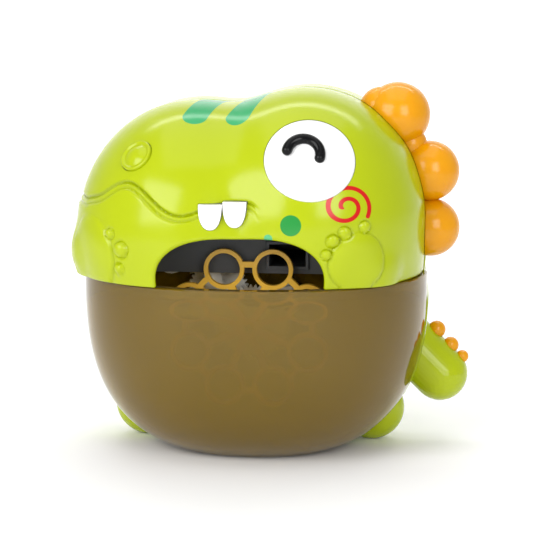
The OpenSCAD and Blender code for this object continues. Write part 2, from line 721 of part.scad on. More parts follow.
module speaker_frame() {
    color([0.60, 0.61, 0.63]) difference() {
        union() {
            disc(speaker_at, 20, [25.4, back_d - wall - 0.1]);
            disc(speaker_at, 13, [16, 25.5]);
            disc(speaker_at, 9, [11, 16.1]);
        }
        disc(speaker_at, 17.5, [26.4, back_d]);
        disc(speaker_at, 11.8, [17.2, back_d]);
    }
}
module speaker_cone() {
    color([0.12, 0.12, 0.13]) translate([speaker_at[0], split_y, speaker_at[1]]) rotate([-90, 0, 0])
        rotate_extrude() polygon([[0, 20.5], [4.5, 20], [11.4, 26.45], [17.2, 26.45], [17.2, 27.2],
            [10.8, 27.2], [4.5, 21.6], [0, 22.2]]);
}
module main_board() {
    color([0.10, 0.35, 0.18]) {
        block([4, 54, 148, 172], [6, 7.6]);
        block([12, 22, 154, 164], [7.5, 9.8]);
        block([28, 36, 160, 168], [7.5, 9.2]);
        disc([46, 154], 4, [7.5, 14]);
        for (x = [8, 50], z = [151, 169])
            disc([x, z], 2.6, [plate_y[1], 6.1]);
    }
}
module battery_tray() {
    color([0.25, 0.27, 0.29]) difference() {
        union() {
            block(tray, tray_y);
            for (z = door_screw_z)
                disc([0, z], 4.2, [12, tray_y[1]]);
        }
        block([tray[0] + 2.6, tray[1] - 2.6, tray[2] + 2.6, tray[3] - 2.6], [tray_y[0] + 1.6, 40]);
        for (z = door_screw_z)
            disc([0, z], 1.3, [14, 40]);
    }
}
module cell(i) {
    x = cell_pitch * (i - 2);
    up = i == 2 ? -1 : 1;
    middle = (tray[2] + tray[3]) / 2;
    translate([x, split_y + cell_y, middle]) scale([1, 1, up]) {
        color([0.15, 0.45, 0.75]) translate([0, 0, -cell_len / 2]) cylinder(r = cell_r, h = cell_len - 1.2);
        color([0.72, 0.73, 0.75]) translate([0, 0, cell_len / 2 - 1.3]) cylinder(r = 2.7, h = 1.3);
    }
}
module cell_1() cell(1);
module cell_2() cell(2);
module cell_3() cell(3);
module battery_contacts() {
    middle = (tray[2] + tray[3]) / 2;
    color([0.72, 0.73, 0.75]) for (i = [1:3]) {
        up = i == 2 ? -1 : 1;
        x = cell_pitch * (i - 2);
        translate([x, split_y + cell_y, middle]) scale([1, 1, up]) {
            translate([-5, -5, cell_len / 2 + 0.1]) cube([10, 10, 0.5]);
            translate([-5, -5, -(tray[3] - tray[2]) / 2 + 2.7]) cube([10, 10, 0.5]);
            translate([0, 0, -cell_len / 2 - 0.6]) cone_spring();
        }
    }
}
// A cone spring that widens as it winds down towards its plate
module cone_spring() {
    wire = 0.4;
    drop = (tray[3] - tray[2] - cell_len) / 2 - 4.2;
    skin([for (a = [0:30:990]) let (r = 2.4 + 2.2 * a / 990)
        [for (k = [0:60:300]) let (q = r + wire * cos(k)) [q * cos(a), q * sin(a), wire * sin(k) - drop * a / 990]]]);
}
module battery_door() {
    color([0.76, 0.83, 0.09]) difference() {
        union() {
            block(door, door_y);
            for (i = [-2:2])
                block([-12, 12, 54 + 5 * i, 55.6 + 5 * i], [door_y[1] - 0.1, door_y[1] + 0.7]);
        }
        for (z = door_screw_z) {
            disc([0, z], 1.5, [20, 40]);
            disc([0, z], 2.9, [door_y[1] - 1.3, 40]);
        }
    }
}
module door_seal() {
    color([0.15, 0.15, 0.15]) difference() {
        block([tray[0], tray[1], tray[2], tray[3]], [tray_y[1] + 0.05, door_y[0] - 0.05]);
        block([tray[0] + 2.6, tray[1] - 2.6, tray[2] + 2.6, tray[3] - 2.6], [20, 30]);
    }
}
module door_screws() {
    color([0.72, 0.73, 0.75]) for (z = door_screw_z)
        mirror_y(0) screw([0, z], [-door_y[1], -16], 2.6, 1.2);
}

// ---- suction cups and fasteners -------------------------------------------------------------

module suction_cup(i) {
    at = cup_at[i - 1];
    lip = cup_reach;
    color([0.80, 0.84, 0.86, 0.7]) translate([at[0], split_y, at[1]]) rotate([-90, 0, 0]) rotate_extrude() polygon([
        [0, 24.2], [4.8, 24.2], [4.8, 26.6], [3.8, 27], [3.8, back_d + 0.2], [8, back_d + 0.2],
        [8, back_d + 3], [5.5, back_d + 6], [7, lip - 7], [cup_r - 2.5, lip - 2.4], [cup_r, lip - 0.8],
        [cup_r, lip], [cup_r - 1.6, lip], [cup_r - 4, lip - 1.4], [5, lip - 5], [0, lip - 6]]);
}
module suction_cup_1() suction_cup(1);
module suction_cup_2() suction_cup(2);
module suction_cup_3() suction_cup(3);
module suction_cup_4() suction_cup(4);
module shell_screws() {
    color([0.72, 0.73, 0.75]) for (at = shell_screw_at)
        mirror_y(0) screw(at, [-8.4, 14], 2.9, 1.5);
}
module chassis_screws() {
    color([0.72, 0.73, 0.75]) for (at = chassis_screw_at)
        screw(at, [plate_y[0] + 0.1, 10], 2.6, 1.2);
}

// A round lead along a route of points
module lead(route) { skin([for (i = [0:len(route) - 1]) lead_ring(route, i)]); }
function lead_ring(route, i) =
    let (a = route[max(0, i - 1)], b = route[min(len(route) - 1, i + 1)], t = (b - a) / norm(b - a))
    let (u = cross(t, [0.9, 0.3, 0.3]) / norm(cross(t, [0.9, 0.3, 0.3])), v = cross(u, t))
    [for (k = [0:45:315]) route[i] + lead_r * (cos(k) * u + sin(k) * v)];
module motor_lead() { color([0.80, 0.10, 0.10]) lead(motor_route); }
module speaker_lead() { color([0.10, 0.10, 0.12]) lead(speaker_route); }
module battery_lead() { color([0.80, 0.10, 0.10]) lead(battery_route); }
module button_lead() { color([0.90, 0.90, 0.90]) lead(button_route); }

tank();
head_shell();
back_shell();
chassis_plate();
crest();
tail();
tail_spikes();
foot_left();
foot_right();
eye_white();
eye_arch();
teeth();
nose_button();
button_seal();
button_board();
tact_switch();
gear_frame_rear();
gear_frame_front();
frame_screws();
motor_can();
motor_end_cap();
motor_shaft();
motor_pinion();
impeller();
first_gear();
second_gear();
gear_pins();
wheel_gear();
wheel_shaft();
shaft_bushes();
shaft_clip();
bubble_wheel();
fan_housing();
air_duct();
splash_guard();
speaker_frame();
speaker_cone();
main_board();
battery_tray();
cell_1();
cell_2();
cell_3();
battery_contacts();
battery_door();
door_seal();
door_screws();
suction_cup_1();
suction_cup_2();
suction_cup_3();
suction_cup_4();
shell_screws();
chassis_screws();
motor_lead();
speaker_lead();
battery_lead();
button_lead();
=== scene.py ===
import math

import bmesh
import bpy
import numpy as np
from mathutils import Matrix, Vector


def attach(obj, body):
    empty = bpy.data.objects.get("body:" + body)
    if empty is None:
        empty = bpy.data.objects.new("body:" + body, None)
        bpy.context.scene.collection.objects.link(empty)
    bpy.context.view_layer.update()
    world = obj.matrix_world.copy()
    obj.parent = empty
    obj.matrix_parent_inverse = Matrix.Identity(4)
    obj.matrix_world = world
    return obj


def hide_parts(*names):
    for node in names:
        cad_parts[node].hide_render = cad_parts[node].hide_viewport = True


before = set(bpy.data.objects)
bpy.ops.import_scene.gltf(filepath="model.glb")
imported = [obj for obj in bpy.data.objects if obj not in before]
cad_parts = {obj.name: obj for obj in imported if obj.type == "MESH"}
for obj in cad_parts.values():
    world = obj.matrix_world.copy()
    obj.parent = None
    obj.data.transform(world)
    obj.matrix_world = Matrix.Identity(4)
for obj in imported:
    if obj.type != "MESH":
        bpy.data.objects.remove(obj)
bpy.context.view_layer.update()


# ---- floor, lamps and camera ----------------------------------------------------------------
# A sheet of pale card that curves up behind the machine, lit by two large soft lamps in front,
# one above and one that lights the card. The camera stands a little to the right of the
# machine and a little above it.

def grid_faces(rows, around):
    """Corners of the faces between neighbours of points[i, j]; around also joins the last
    column to the first."""
    m, n = rows.shape[:2]
    i = np.arange(m - 1)[:, None]
    j = np.arange(n if around else n - 1)[None, :]
    j2 = (j + 1) % n
    return np.stack([i * n + j, i * n + j2, (i + 1) * n + j2, (i + 1) * n + j], -1).reshape(-1, 4)


def piece_from_faces(name, points, faces):
    """A smooth mesh piece at the origin, from points in metres and lists of corners."""
    mesh = bpy.data.meshes.new(name)
    mesh.from_pydata(np.asarray(points).tolist(), [], [list(map(int, f)) for f in faces])
    mesh.validate()
    mesh.shade_smooth()
    piece = bpy.data.objects.new(name, mesh)
    bpy.context.scene.collection.objects.link(piece)
    return piece


def sweep_card():
    """Card: flat in front, then a quarter circle of radius 0.5 m, then upright behind."""
    bend = np.linspace(0, math.pi / 2, 24)
    run = np.concatenate([[-3.0], 1.2 + 0.5 * np.sin(bend), [1.7]])
    rise = np.concatenate([[0.0], 0.5 - 0.5 * np.cos(bend), [3.0]])
    across = np.linspace(3.5, -3.5, 3)
    grid = np.stack(np.broadcast_arrays(across[None, :], run[:, None], rise[:, None]), -1)
    return piece_from_faces("floor_card", grid.reshape(-1, 3), grid_faces(grid, False))


card = sweep_card()
card_paper = bpy.data.materials.new("card_paper")
card_paper.use_nodes = True
card_paper.node_tree.nodes["Principled BSDF"].inputs["Base Color"].default_value = (0.93, 0.93, 0.93, 1)
card_paper.node_tree.nodes["Principled BSDF"].inputs["Roughness"].default_value = 0.7
card_paper.node_tree.nodes["Principled BSDF"].inputs["Specular IOR Level"].default_value = 0.2
card.data.materials.append(card_paper)


def soft_lamp(name, place, aim, width, height, power):
    """An area lamp at a place, turned to face aim; sizes in metres, power in watts."""
    lamp = bpy.data.lights.new(name, "AREA")
    lamp.shape = "RECTANGLE"
    lamp.size = width
    lamp.size_y = height
    lamp.energy = power
    holder = bpy.data.objects.new(name, lamp)
    holder.location = place
    holder.rotation_mode = "QUATERNION"
    holder.rotation_quaternion = (Vector(aim) - Vector(place)).to_track_quat("-Z", "Y")
    bpy.context.scene.collection.objects.link(holder)


soft_lamp("front_left_lamp", (-0.68, -1.0, 0.62), (-0.02, 0, 0.12), 0.9, 0.85, 11.5)
soft_lamp("front_right_lamp", (0.66, -1.15, 0.58), (0.02, 0, 0.12), 0.6, 0.8, 7.5)
soft_lamp("top_lamp", (0.0, -0.1, 1.3), (0, 0, 0.1), 1.2, 1.2, 4.5)
soft_lamp("backdrop_lamp", (0.0, 0.7, 1.3), (0, 1.6, 0.3), 1.6, 0.4, 16)

sky = bpy.data.worlds.new("studio_air")
sky.use_nodes = True
sky.node_tree.nodes["Background"].inputs["Color"].default_value = (1, 1, 1, 1)
sky.node_tree.nodes["Background"].inputs["Strength"].default_value = 0.46
bpy.context.scene.world = sky
bpy.context.scene.view_settings.view_transform = "Standard"

aim = Vector((0.008, -0.002, 0.095))
turn = math.radians(6)
lift = math.radians(9)
back = Vector((math.sin(turn) * math.cos(lift), -math.cos(turn) * math.cos(lift), math.sin(lift)))
camera = bpy.data.objects.new("camera", bpy.data.cameras.new("camera"))
camera.data.sensor_width = 36
camera.data.lens = 138.4
camera.data.shift_x = 0.0046
camera.data.shift_y = 0.0091
camera.location = aim + 1.1 * back
camera.rotation_mode = "QUATERNION"
camera.rotation_quaternion = (-back).to_track_quat("-Z", "Y")
bpy.context.scene.collection.objects.link(camera)
bpy.context.scene.camera = camera


# ---- head shell -----------------------------------------------------------------------------
# The front of the dinosaur is one glossy green ABS moulding, 2.2 mm thick, with snout, brow and
# two short arms. The mouth is a moulded groove, and the stripes, dots and cheek swirl are printed.
# Painted shade darkens the mouth groove and the creases round the knuckles and hands.

MM = 0.001
WALL = 2.2 * MM
SPLIT_Y = 0.018
HEAD_CENTRE = np.array([0, SPLIT_Y, 0.096])
HEAD_FORMS = [([-31, -13, 24], [62, 65, 67]), ([28, -13, 33], [62, 66, 65]),
              ([0, 0, 0], [88, 77, 60])]
ARM_FORMS = [([-77, -26, 12], [18, 20, 18]), ([54, -46, 8], [24, 20, 19])]
EYE_AT = np.array([34.5, -50.9, 163]) * MM
EYE_DIR = np.array([0.111, -0.842, 0.528])
BUTTON_AT = np.array([-55.6, -39.1, 161.4]) * MM
BUTTON_DIR = np.array([-0.4175, -0.681, 0.6015])
TEETH_AT = [(-15.1, 133.2), (-2.7, 134.6)]


def far_side(rays, centre, half):
    """How far along each ray from the head's centre an ellipsoid's far side lies, or 0."""
    u = rays / (np.array(half) * MM)
    c = np.array(centre) / np.array(half)
    along = u @ c
    uu = (u * u).sum(-1)
    inside = along ** 2 - uu * (c @ c - 1)
    return np.where(inside > 0, np.maximum(0, (along + np.sqrt(np.maximum(inside, 0))) / uu), 0)


def head_radius(rays):
    """Rounded maximum of the ellipsoids: the 14th-power mean of the body forms, then the 40th
    with the arms, so that body forms melt together and arms keep a crease."""
    body = sum(far_side(rays, *form) ** 14 for form in HEAD_FORMS) ** (1 / 14)
    arms = sum((far_side(rays, *form) / body) ** 40 for form in ARM_FORMS)
    return body * (1 + arms) ** (1 / 40)


def head_points(theta, beta, grow=0.0):
    """Points of the head: theta opens from straight ahead, beta goes round from the right."""
    rays = np.stack([np.sin(theta) * np.cos(beta), -np.cos(theta) * np.ones_like(beta),
                     np.sin(theta) * np.sin(beta)], -1)
    return HEAD_CENTRE + rays * (head_radius(rays) + grow)[..., None]


def outlet_edge(beta):
    """Angle from straight ahead to the foam outlet's edge: a superellipse arch of power 2.4, 46 mm
    to each side and 27 mm high, on a plane 76 mm ahead of the head's centre."""
    r = ((np.abs(np.cos(beta)) / 46) ** 2.4 + (np.abs(np.sin(beta)) / 27) ** 2.4) ** (-1 / 2.4)
    return np.arctan2(r, 76)


def spaced(count, busy):
    """count + 1 steps from 0 to 1, 2.4 times closer together inside the busy spans."""
    fine = np.linspace(0, 1, 2001)
    weight = np.ones_like(fine)
    for low, high in busy:
        weight += 0.7 * (np.tanh((fine - low) * 60) - np.tanh((fine - high) * 60))
    run = np.concatenate([[0], np.cumsum((weight[1:] + weight[:-1]) / 2)])
    return np.interp(np.linspace(0, run[-1], count + 1), run, fine)


MOUTH = np.polyfit([-82.7, -75.1, -68.2, -58.8, -51.6, -45.1, -38.9, -31.2, -21.4, -10.9, 3.1, 8.8],
                   [138.3, 140.8, 145.6, 148.1, 146.4, 140.5, 135.8, 133.3, 135.5, 139.2, 140.2, 137], 8)
KNUCKLES = [(-68, -47.6, 122, 2.2), (-61.7, -51.9, 114.5, 3.3), (-63, -49.9, 104.4, 2.4),
            (52.6, -55.8, 125.2, 2.6), (62.3, -50.3, 127.8, 2.4), (46.8, -57.9, 121.3, 2.6),
            (43.6, -58, 114.3, 2.2)]

HANDS = [(-79, -33, 110, 20), (58.5, -50, 110, 15.5)]


def moulded_relief(p):
    """Height to add to the head, in metres. The mouth is a narrow groove, a thin ridge and a
    second shallow groove along a wavy line, with the jaw standing 0.9 mm proud under it and
    fading down. Each finger knuckle is a low cap with a crease round it, and each hand a wider
    cap, creased under its knuckles."""
    q = p / MM
    x = np.clip(q[..., 0], -84, 9)
    slope = np.polyval(np.polyder(MOUTH), x)
    s = (q[..., 2] - np.polyval(MOUTH, x)) / np.sqrt(1 + slope ** 2)
    ends = 1 / (1 + np.exp((q[..., 0] - 7.5) / 0.8)) * (q[..., 1] < 10)
    line = -1.5 * np.exp(-(s / 0.62) ** 2) + 0.3 * np.exp(-((s + 1.6) / 0.6) ** 2)
    line -= 0.7 * np.exp(-((s + 2.9) / 0.75) ** 2)
    jaw_side = 1 / (1 + np.exp((q[..., 0] + 22) / 3))
    jaw = 0.9 / (1 + np.exp((s + 3.4) / 0.3)) * np.exp(-np.maximum(-s - 4, 0) / 12) * jaw_side
    height = (line + jaw) * ends
    for kx, ky, kz, r in KNUCKLES:
        away = np.sqrt((q[..., 0] - kx) ** 2 + (q[..., 1] - ky) ** 2 + (q[..., 2] - kz) ** 2)
        height += 0.7 * np.sqrt(np.maximum((1.25 * r) ** 2 - away * away, 0))
        height -= 0.5 * np.exp(-((away - 1.25 * r - 0.2) / 0.45) ** 2)
    for hx, hy, hz, r in HANDS:
        away = np.sqrt((q[..., 0] - hx) ** 2 + (q[..., 1] - hy) ** 2 + (q[..., 2] - hz) ** 2)
        height += 2.2 * np.sqrt(np.maximum(1 - (away / r) ** 2, 0))
        height -= 0.7 * np.exp(-((away - r) / 0.6) ** 2) / (1 + np.exp((q[..., 2] - 121) / 2))
    return height * MM


def head_skin():
    """Closed shell: each loop runs out along the outer face from the foam outlet to the split
    plane, back along the inner face and round the outlet's half-round lip. Loops follow beta,
    and a few smaller ones close each lower edge in a half round."""
    h = WALL / 2
    first = math.radians(1.4)
    lip = np.radians([80, 60, 30, 0])
    beta = first + (math.pi - 2 * first) * spaced(250, [(0.08, 0.22), (0.42, 0.94)])
    beta = np.concatenate([np.full(4, first), beta[1:-1], np.full(4, math.pi - first)])
    thin = np.ones(len(beta))
    drop = np.zeros(len(beta))
    thin[:4] = np.cos(lip)
    thin[-4:] = np.cos(lip)[::-1]
    drop[:4] = np.sin(lip)
    drop[-4:] = np.sin(lip)[::-1]
    v = spaced(140, [(0.0, 0.62)])
    start = outlet_edge(beta)
    theta = start[:, None] + (math.pi / 2 - start[:, None]) * v[None, :]
    round_beta = np.broadcast_to(beta[:, None], theta.shape)
    outer = head_points(theta, round_beta)
    rays = (outer - HEAD_CENTRE) / np.linalg.norm(outer - HEAD_CENTRE, axis=-1, keepdims=True)
    outer = outer + rays * moulded_relief(outer)[..., None]
    seam = -0.45 * MM * (np.arange(len(v)) == len(v) - 1)
    middle = head_points(theta, round_beta, -h)
    over = (outer - middle) + rays * seam[None, :, None]
    outer = middle + over * thin[:, None, None]
    inner = middle - rays * h * thin[:, None, None]
    ahead = middle[:, 0] - middle[:, 1]
    ahead /= np.linalg.norm(ahead, axis=-1, keepdims=True)
    lip_turn = np.radians([-60, -30, 0, 30, 60])[None, :, None]
    lip_round = rays[:, :1] * np.sin(lip_turn) + ahead[:, None] * np.cos(lip_turn)
    edge = middle[:, :1] + h * thin[:, None, None] * lip_round
    loops = np.concatenate([outer, inner[:, ::-1], edge], 1)
    for k in [*range(4), *range(len(beta) - 4, len(beta))]:
        loops[k, :, 2] = HEAD_CENTRE[2] + h - h * drop[k]
    m, n = loops.shape[:2]
    faces = grid_faces(loops, True)
    c = len(v)
    k = np.arange(c - 1)
    low = np.stack([k, 2 * c - 1 - k, 2 * c - 2 - k, k + 1], -1)
    lip_low = [[0, *range(n - 1, 2 * c - 2, -1)]]
    ends = [list(f)[::-1] for f in low] + [f[::-1] for f in lip_low]
    ends += [[(m - 1) * n + q for q in f] for f in low] + [[(m - 1) * n + q for q in f] for f in lip_low]
    return piece_from_faces("head", loops.reshape(-1, 3), faces[:, ::-1].tolist() + ends)


def outward(piece):
    """Turns every face of a closed mesh outwards."""
    work = bmesh.new()
    work.from_mesh(piece.data)
    bmesh.ops.recalc_face_normals(work, faces=work.faces)
    work.to_mesh(piece.data)
    work.free()
    return piece


def closed_skin(name, rings):
    """A closed piece over a stack of closed rings, with the first and last ring filled in."""
    m, n = rings.shape[:2]
    ends = [list(range(n))[::-1], [(m - 1) * n + q for q in range(n)]]
    return outward(piece_from_faces(name, rings.reshape(-1, 3), grid_faces(rings, True).tolist() + ends))


def axes_of(direction):
    """Unit axes at a surface feature: down the surface, to the right, and outwards."""
    z = np.array(direction, float) / np.linalg.norm(direction)
    tilt = math.acos(z[2])
    spin = math.atan2(z[1], z[0])
    x = np.array([math.cos(tilt) * math.cos(spin), math.cos(tilt) * math.sin(spin), -math.sin(tilt)])
    return x, np.cross(z, x), z


def turned(name, profile, at, direction, steps=96):
    """A lathe shape: a profile of (radius, height) in mm, from one end on the axis to the other,
    turned about a direction that stands on a point."""
    x, y, z = axes_of(direction)
    r, h = np.array(profile, float).T[:, :, None] * MM
    a = np.linspace(0, 2 * math.pi, steps, endpoint=False)[None, :]
    rings = at + (r * np.cos(a))[..., None] * x + (r * np.sin(a))[..., None] * y
    rings = rings + (h + 0 * a)[..., None] * z
    return closed_skin(name, rings)


def carve(piece, cutters, mode="DIFFERENCE"):
    """Cuts closed shapes out of a closed piece, or joins them to it, and removes the cutters."""
    for cutter in cutters:
        step = piece.modifiers.new("carve", "BOOLEAN")
        step.operation = mode
        step.object = cutter
        step.solver = "MANIFOLD"
    settled = piece.evaluated_get(bpy.context.evaluated_depsgraph_get())
    mesh = bpy.data.meshes.new_from_object(settled)
    piece.modifiers.clear()
    mesh.materials.clear()
    piece.data = mesh
    for cutter in cutters:
        bpy.data.objects.remove(cutter)
    mesh.shade_smooth()
    mesh.set_sharp_from_angle(angle=math.radians(40))
    return piece


def tooth_plug(name, at, grow, front, rear):
    """Outline of a tooth, a superellipse that hangs from its straight top edge and narrows to
    a round end, carried along Y between two depths."""
    a = np.linspace(math.pi, 2 * math.pi, 41)
    xs = at[0] + (6 + grow) * np.sign(np.cos(a)) * np.abs(np.cos(a)) ** 0.85
    zs = at[1] + 6 + grow - (13 + 2 * grow) * np.abs(np.sin(a)) ** 0.85
    rings = np.stack([np.stack([xs, np.full_like(xs, y), zs], -1) for y in (front, rear)]) * MM
    n = len(xs)
    sides = [[j, (j + 1) % n, n + (j + 1) % n, n + j] for j in range(n)]
    ends = [list(range(n)), list(range(n, 2 * n))]
    return outward(piece_from_faces(name, rings.reshape(-1, 3), sides + ends))


def wire(tree, kind, settings=None, **feeds):
    """A shader node; settings are its own options, feeds are sockets given numbers or links."""
    made = tree.nodes.new(kind)
    for key, value in (settings or {}).items():
        setattr(made, key, value)
    for key, value in feeds.items():
        by_number = key[0] == "i" and key[1:].isdigit()
        socket = made.inputs[int(key[1:]) if by_number else key.replace("_", " ")]
        if isinstance(value, bpy.types.NodeSocket):
            tree.links.new(value, socket)
        else:
            socket.default_value = value
    return made


def shade(colour, by):
    """A colour made lighter or darker by a factor, with full alpha."""
    return tuple(min(1.0, c * by) for c in colour) + (1.0,)


def moulding(name, colour, rough=0.2, drift=0.05, grain=0.012, coat=0.0, flow=38.0, metal=0.0):
    """Moulded plastic or metal: two close shades drift over the part, the gloss drifts with
    them, and a very fine noise gives the surface of the mould."""
    made = bpy.data.materials.new(name)
    made.use_nodes = True
    tree = made.node_tree
    bench = tree.nodes["Principled BSDF"]
    where = wire(tree, "ShaderNodeTexCoord").outputs["Object"]
    cloud = wire(tree, "ShaderNodeTexNoise", Vector=where, Scale=flow, Detail=3.0)
    tint = wire(tree, "ShaderNodeMix", {"data_type": "RGBA"}, Factor=cloud.outputs["Fac"])
    tint.inputs[6].default_value = shade(colour, 1 - drift)
    tint.inputs[7].default_value = shade(colour, 1 + drift)
    tree.links.new(tint.outputs[2], bench.inputs["Base Color"])
    gloss = wire(tree, "ShaderNodeMapRange", Value=cloud.outputs["Fac"])
    gloss.inputs["To Min"].default_value = rough * 0.85
    gloss.inputs["To Max"].default_value = rough * 1.15
    tree.links.new(gloss.outputs[0], bench.inputs["Roughness"])
    fine = wire(tree, "ShaderNodeTexNoise", Vector=where, Scale=1400.0, Detail=2.0)
    skin = wire(tree, "ShaderNodeBump", Height=fine.outputs["Fac"], Strength=grain, Distance=0.001)
    tree.links.new(skin.outputs[0], bench.inputs["Normal"])
    bench.inputs["Metallic"].default_value = metal
    bench.inputs["Specular IOR Level"].default_value = 0.36
    bench.inputs["Coat Weight"].default_value = coat
    bench.inputs["Coat Roughness"].default_value = 0.06
    return made


def surface_of(finish):
    """The shader that holds a finish's gloss and colour sockets."""
    return finish.node_tree.nodes["Principled BSDF"]


def maths(tree, operation, a, b=0.0):
    """The result of one sum on two values or sockets."""
    return wire(tree, "ShaderNodeMath", {"operation": operation}, i0=a, i1=b).outputs[0]


def length_of(tree, a, b):
    """The length of a vector with two parts at right angles."""
    squares = maths(tree, "ADD", maths(tree, "MULTIPLY", a, a), maths(tree, "MULTIPLY", b, b))
    return maths(tree, "SQRT", squares)


def along_axis(tree, where, at, axis):
    """Distance of each surface point from a point, measured along an axis, in metres."""
    moved = wire(tree, "ShaderNodeVectorMath", {"operation": "SUBTRACT"}, i0=where, i1=tuple(at))
    dot = wire(tree, "ShaderNodeVectorMath", {"operation": "DOT_PRODUCT"},
               i0=moved.outputs[0], i1=tuple(axis))
    return dot.outputs["Value"]


def inked(tree, colour, distance, ink, edge=0.12 * MM):
    """Prints an ink where distance is below zero, with a very narrow soft edge."""
    cover = wire(tree, "ShaderNodeMapRange", {"clamp": True}, Value=distance)
    cover.inputs["From Min"].default_value = edge
    cover.inputs["From Max"].default_value = -edge
    mixed = wire(tree, "ShaderNodeMix", {"data_type": "RGBA"}, Factor=cover.outputs[0])
    tree.links.new(colour, mixed.inputs[6])
    mixed.inputs[7].default_value = ink
    return mixed.outputs[2]


def stripe_distance(tree, where, foot, lean, width, length):
    """Printed stripe: a band along a leaning line with both ends rounded. Distance is the
    length of (across, beyond either end), less half the width."""
    lean = np.array(lean) / np.linalg.norm(lean)
    across = np.cross(lean, [0, 0, 1])
    across /= np.linalg.norm(across)
    s = along_axis(tree, where, np.array(foot) * MM, across)
    t = along_axis(tree, where, np.array(foot) * MM, lean)
    below = maths(tree, "MULTIPLY", t, -1.0)
    above = maths(tree, "SUBTRACT", t, length * MM)
    beyond = maths(tree, "MAXIMUM", maths(tree, "MAXIMUM", below, above), 0.0)
    return maths(tree, "SUBTRACT", length_of(tree, s, beyond), width / 2 * MM)


def spot_distance(tree, where, at, r):
    """Printed dot: the distance from its middle, less its radius."""
    away = wire(tree, "ShaderNodeVectorMath", {"operation": "DISTANCE"},
                i0=where, i1=tuple(np.array(at) * MM))
    return maths(tree, "SUBTRACT", away.outputs["Value"], r * MM)


def swirl_distance(tree, where, at, right, up, pitch, inner, turns, stroke):
    """Cheek swirl: an Archimedean line that opens by one pitch a turn, clockwise from its inner
    end at the left. Distance is to the nearest turn of it, less half the stroke."""
    u = along_axis(tree, where, np.array(at) * MM, right)
    v = maths(tree, "DIVIDE", along_axis(tree, where, np.array(at) * MM, up), 0.86)
    r = length_of(tree, u, v)
    left = maths(tree, "ARCTAN2", v, maths(tree, "MULTIPLY", u, -1.0))
    phase = maths(tree, "DIVIDE", left, 2 * math.pi)
    opened = maths(tree, "DIVIDE", maths(tree, "SUBTRACT", r, inner * MM), pitch * MM)
    lap = maths(tree, "ROUND", maths(tree, "SUBTRACT", opened, phase))
    walked = maths(tree, "ADD", lap, phase)
    held = maths(tree, "MINIMUM", maths(tree, "MAXIMUM", walked, 0.0), turns)
    run_on = maths(tree, "MULTIPLY", maths(tree, "SUBTRACT", walked, held), r)
    past = maths(tree, "MULTIPLY", run_on, 2 * math.pi)
    gap = maths(tree, "MULTIPLY", maths(tree, "SUBTRACT", opened, walked), pitch * MM)
    line = maths(tree, "SUBTRACT", length_of(tree, gap, past), stroke / 2 * MM)
    return maths(tree, "MAXIMUM", line, maths(tree, "SUBTRACT", 1.6 * MM, r))


GREEN = (0.385, 0.465, 0.0015)
head = outward(head_skin())
head = carve(head, [
    turned("eye_window", [(23.2, -15), (23.2, 15)], EYE_AT, EYE_DIR, 128),
    turned("button_bore", [(9.1, -25), (9.1, 25)], BUTTON_AT, BUTTON_DIR, 96),
    tooth_plug("tooth_slot_1", TEETH_AT[0], 0.2, -80, -42),
    tooth_plug("tooth_slot_2", TEETH_AT[1], 0.2, -80, -42)])
head_green = moulding("head_green", GREEN, 0.19, 0.03, 0.008)
tree = head_green.node_tree
where = wire(tree, "ShaderNodeTexCoord").outputs["Object"]
print_colour = surface_of(head_green).inputs["Base Color"].links[0].from_socket
STRIPE_INK = (0.014, 0.33, 0.105, 1)
DOT_INK = (0.02, 0.26, 0.045, 1)
SMALL_DOT_INK = (0.09, 0.42, 0.18, 1)
SWIRL_INK = (0.52, 0.008, 0.006, 1)
# Darker green used as painted shade in the grooves and creases of the head.
CREASE_SHADE_GREEN = (0.17, 0.22, 0.0, 1)
for foot, lean in (([-27.2, -23, 178], [0.24, 0.95, 0.2]), ([-4.8, -23, 178], [0.30, 0.95, 0.2])):
    stripe = stripe_distance(tree, where, foot, lean, 13, 34)
    print_colour = inked(tree, print_colour, stripe, STRIPE_INK)
for at, r, ink in (((25.8, -61.4, 129.4), 5.3, DOT_INK), ((14.4, -60.4, 122.5), 2.2, SMALL_DOT_INK)):
    print_colour = inked(tree, print_colour, spot_distance(tree, where, at, r), ink)
cheek_out = np.array([0.55, -0.80, 0.24]) / np.linalg.norm([0.55, -0.80, 0.24])
cheek_right = np.cross(cheek_out, [0, 0, 1])
cheek_right = -cheek_right / np.linalg.norm(cheek_right)
cheek_up = np.cross(cheek_out, cheek_right)
cheek_up *= np.sign(cheek_up[2])
swirl = swirl_distance(tree, where, (53.4, -54.6, 138.4), cheek_right, cheek_up, 6.4, 3.0, 1.58, 2.5)
print_colour = inked(tree, print_colour, swirl, SWIRL_INK)
# Painted shade: the depth to which the relief sinks each vertex below the head, up to 1 mm, mixes the
# green towards the darker crease green, so the mouth groove and the creases round knuckles and hands look
# shaded.
spots = np.empty(len(head.data.vertices) * 3)
head.data.vertices.foreach_get("co", spots)
crease_shade_depth = np.clip(-moulded_relief(spots.reshape(-1, 3)) / MM, 0, 1) ** 1.3
head.data.attributes.new("crease", "FLOAT", "POINT").data.foreach_set("value", crease_shade_depth.astype(np.float32))
crease = wire(tree, "ShaderNodeAttribute", {"attribute_name": "crease"}).outputs["Fac"]
crease_shade_mix = wire(tree, "ShaderNodeMix", {"data_type": "RGBA"}, Factor=maths(tree, "MULTIPLY", crease, 0.55))
tree.links.new(print_colour, crease_shade_mix.inputs[6])
crease_shade_mix.inputs[7].default_value = CREASE_SHADE_GREEN
tree.links.new(crease_shade_mix.outputs[2], surface_of(head_green).inputs["Base Color"])
head.data.materials.append(head_green)
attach(head, "machine")
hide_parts("head_shell")


# ---- liquid tank ----------------------------------------------------------------------------
# The lower half of the body is a clear smoky tub that holds the bubble liquid. It is one
# polystyrene moulding with an inturned rim, and two tongues behind the rim snap into the machine.

